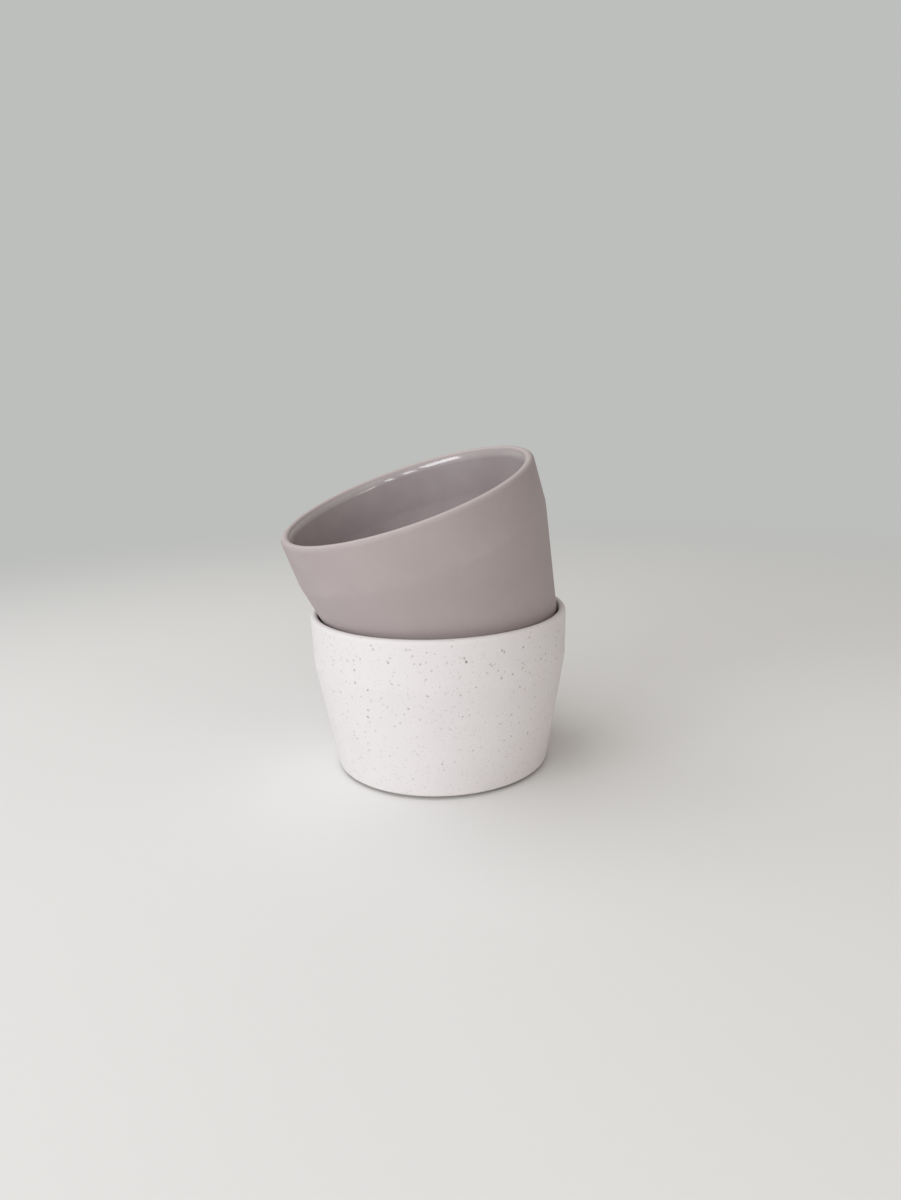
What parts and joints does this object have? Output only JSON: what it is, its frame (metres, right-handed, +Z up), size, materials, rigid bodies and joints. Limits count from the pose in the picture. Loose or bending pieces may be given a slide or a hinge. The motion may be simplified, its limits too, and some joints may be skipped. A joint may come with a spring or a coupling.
{
  "type": "nesting stoneware bowls",
  "caption": "Small straight-sided stoneware bowls of one form, a mauve-grey one leaning in the mouth of a speckled white one, matt outside and gloss-glazed inside.",
  "frame": {"origin": "on the lower bowl's axis, in the plane its foot ring stands on", "axes": "+Z up along the lower bowl's axis; the pictured side looks along +Y, with +X to the right"},
  "size_m": [0.1042, 0.1003, 0.1182],
  "materials": {
    "speckled_clay": "matt off-white with fine dark specks",
    "white_glaze": "gloss",
    "mauve_clay": "matt mauve-grey",
    "mauve_glaze": "gloss"
  },
  "bodies": {
    "lower_bowl": {"lower_bowl_body": "speckled_clay", "lower_bowl_glaze": "white_glaze"},
    "upper_bowl": {"upper_bowl_body": "mauve_clay", "upper_bowl_glaze": "mauve_glaze"}
  },
  "joints": [
    {"name": "lift_out", "type": "slide", "parent": "lower_bowl", "child": "upper_bowl", "axis": [0, 0, 1], "range_m": [0, 0.08]}
  ]
}
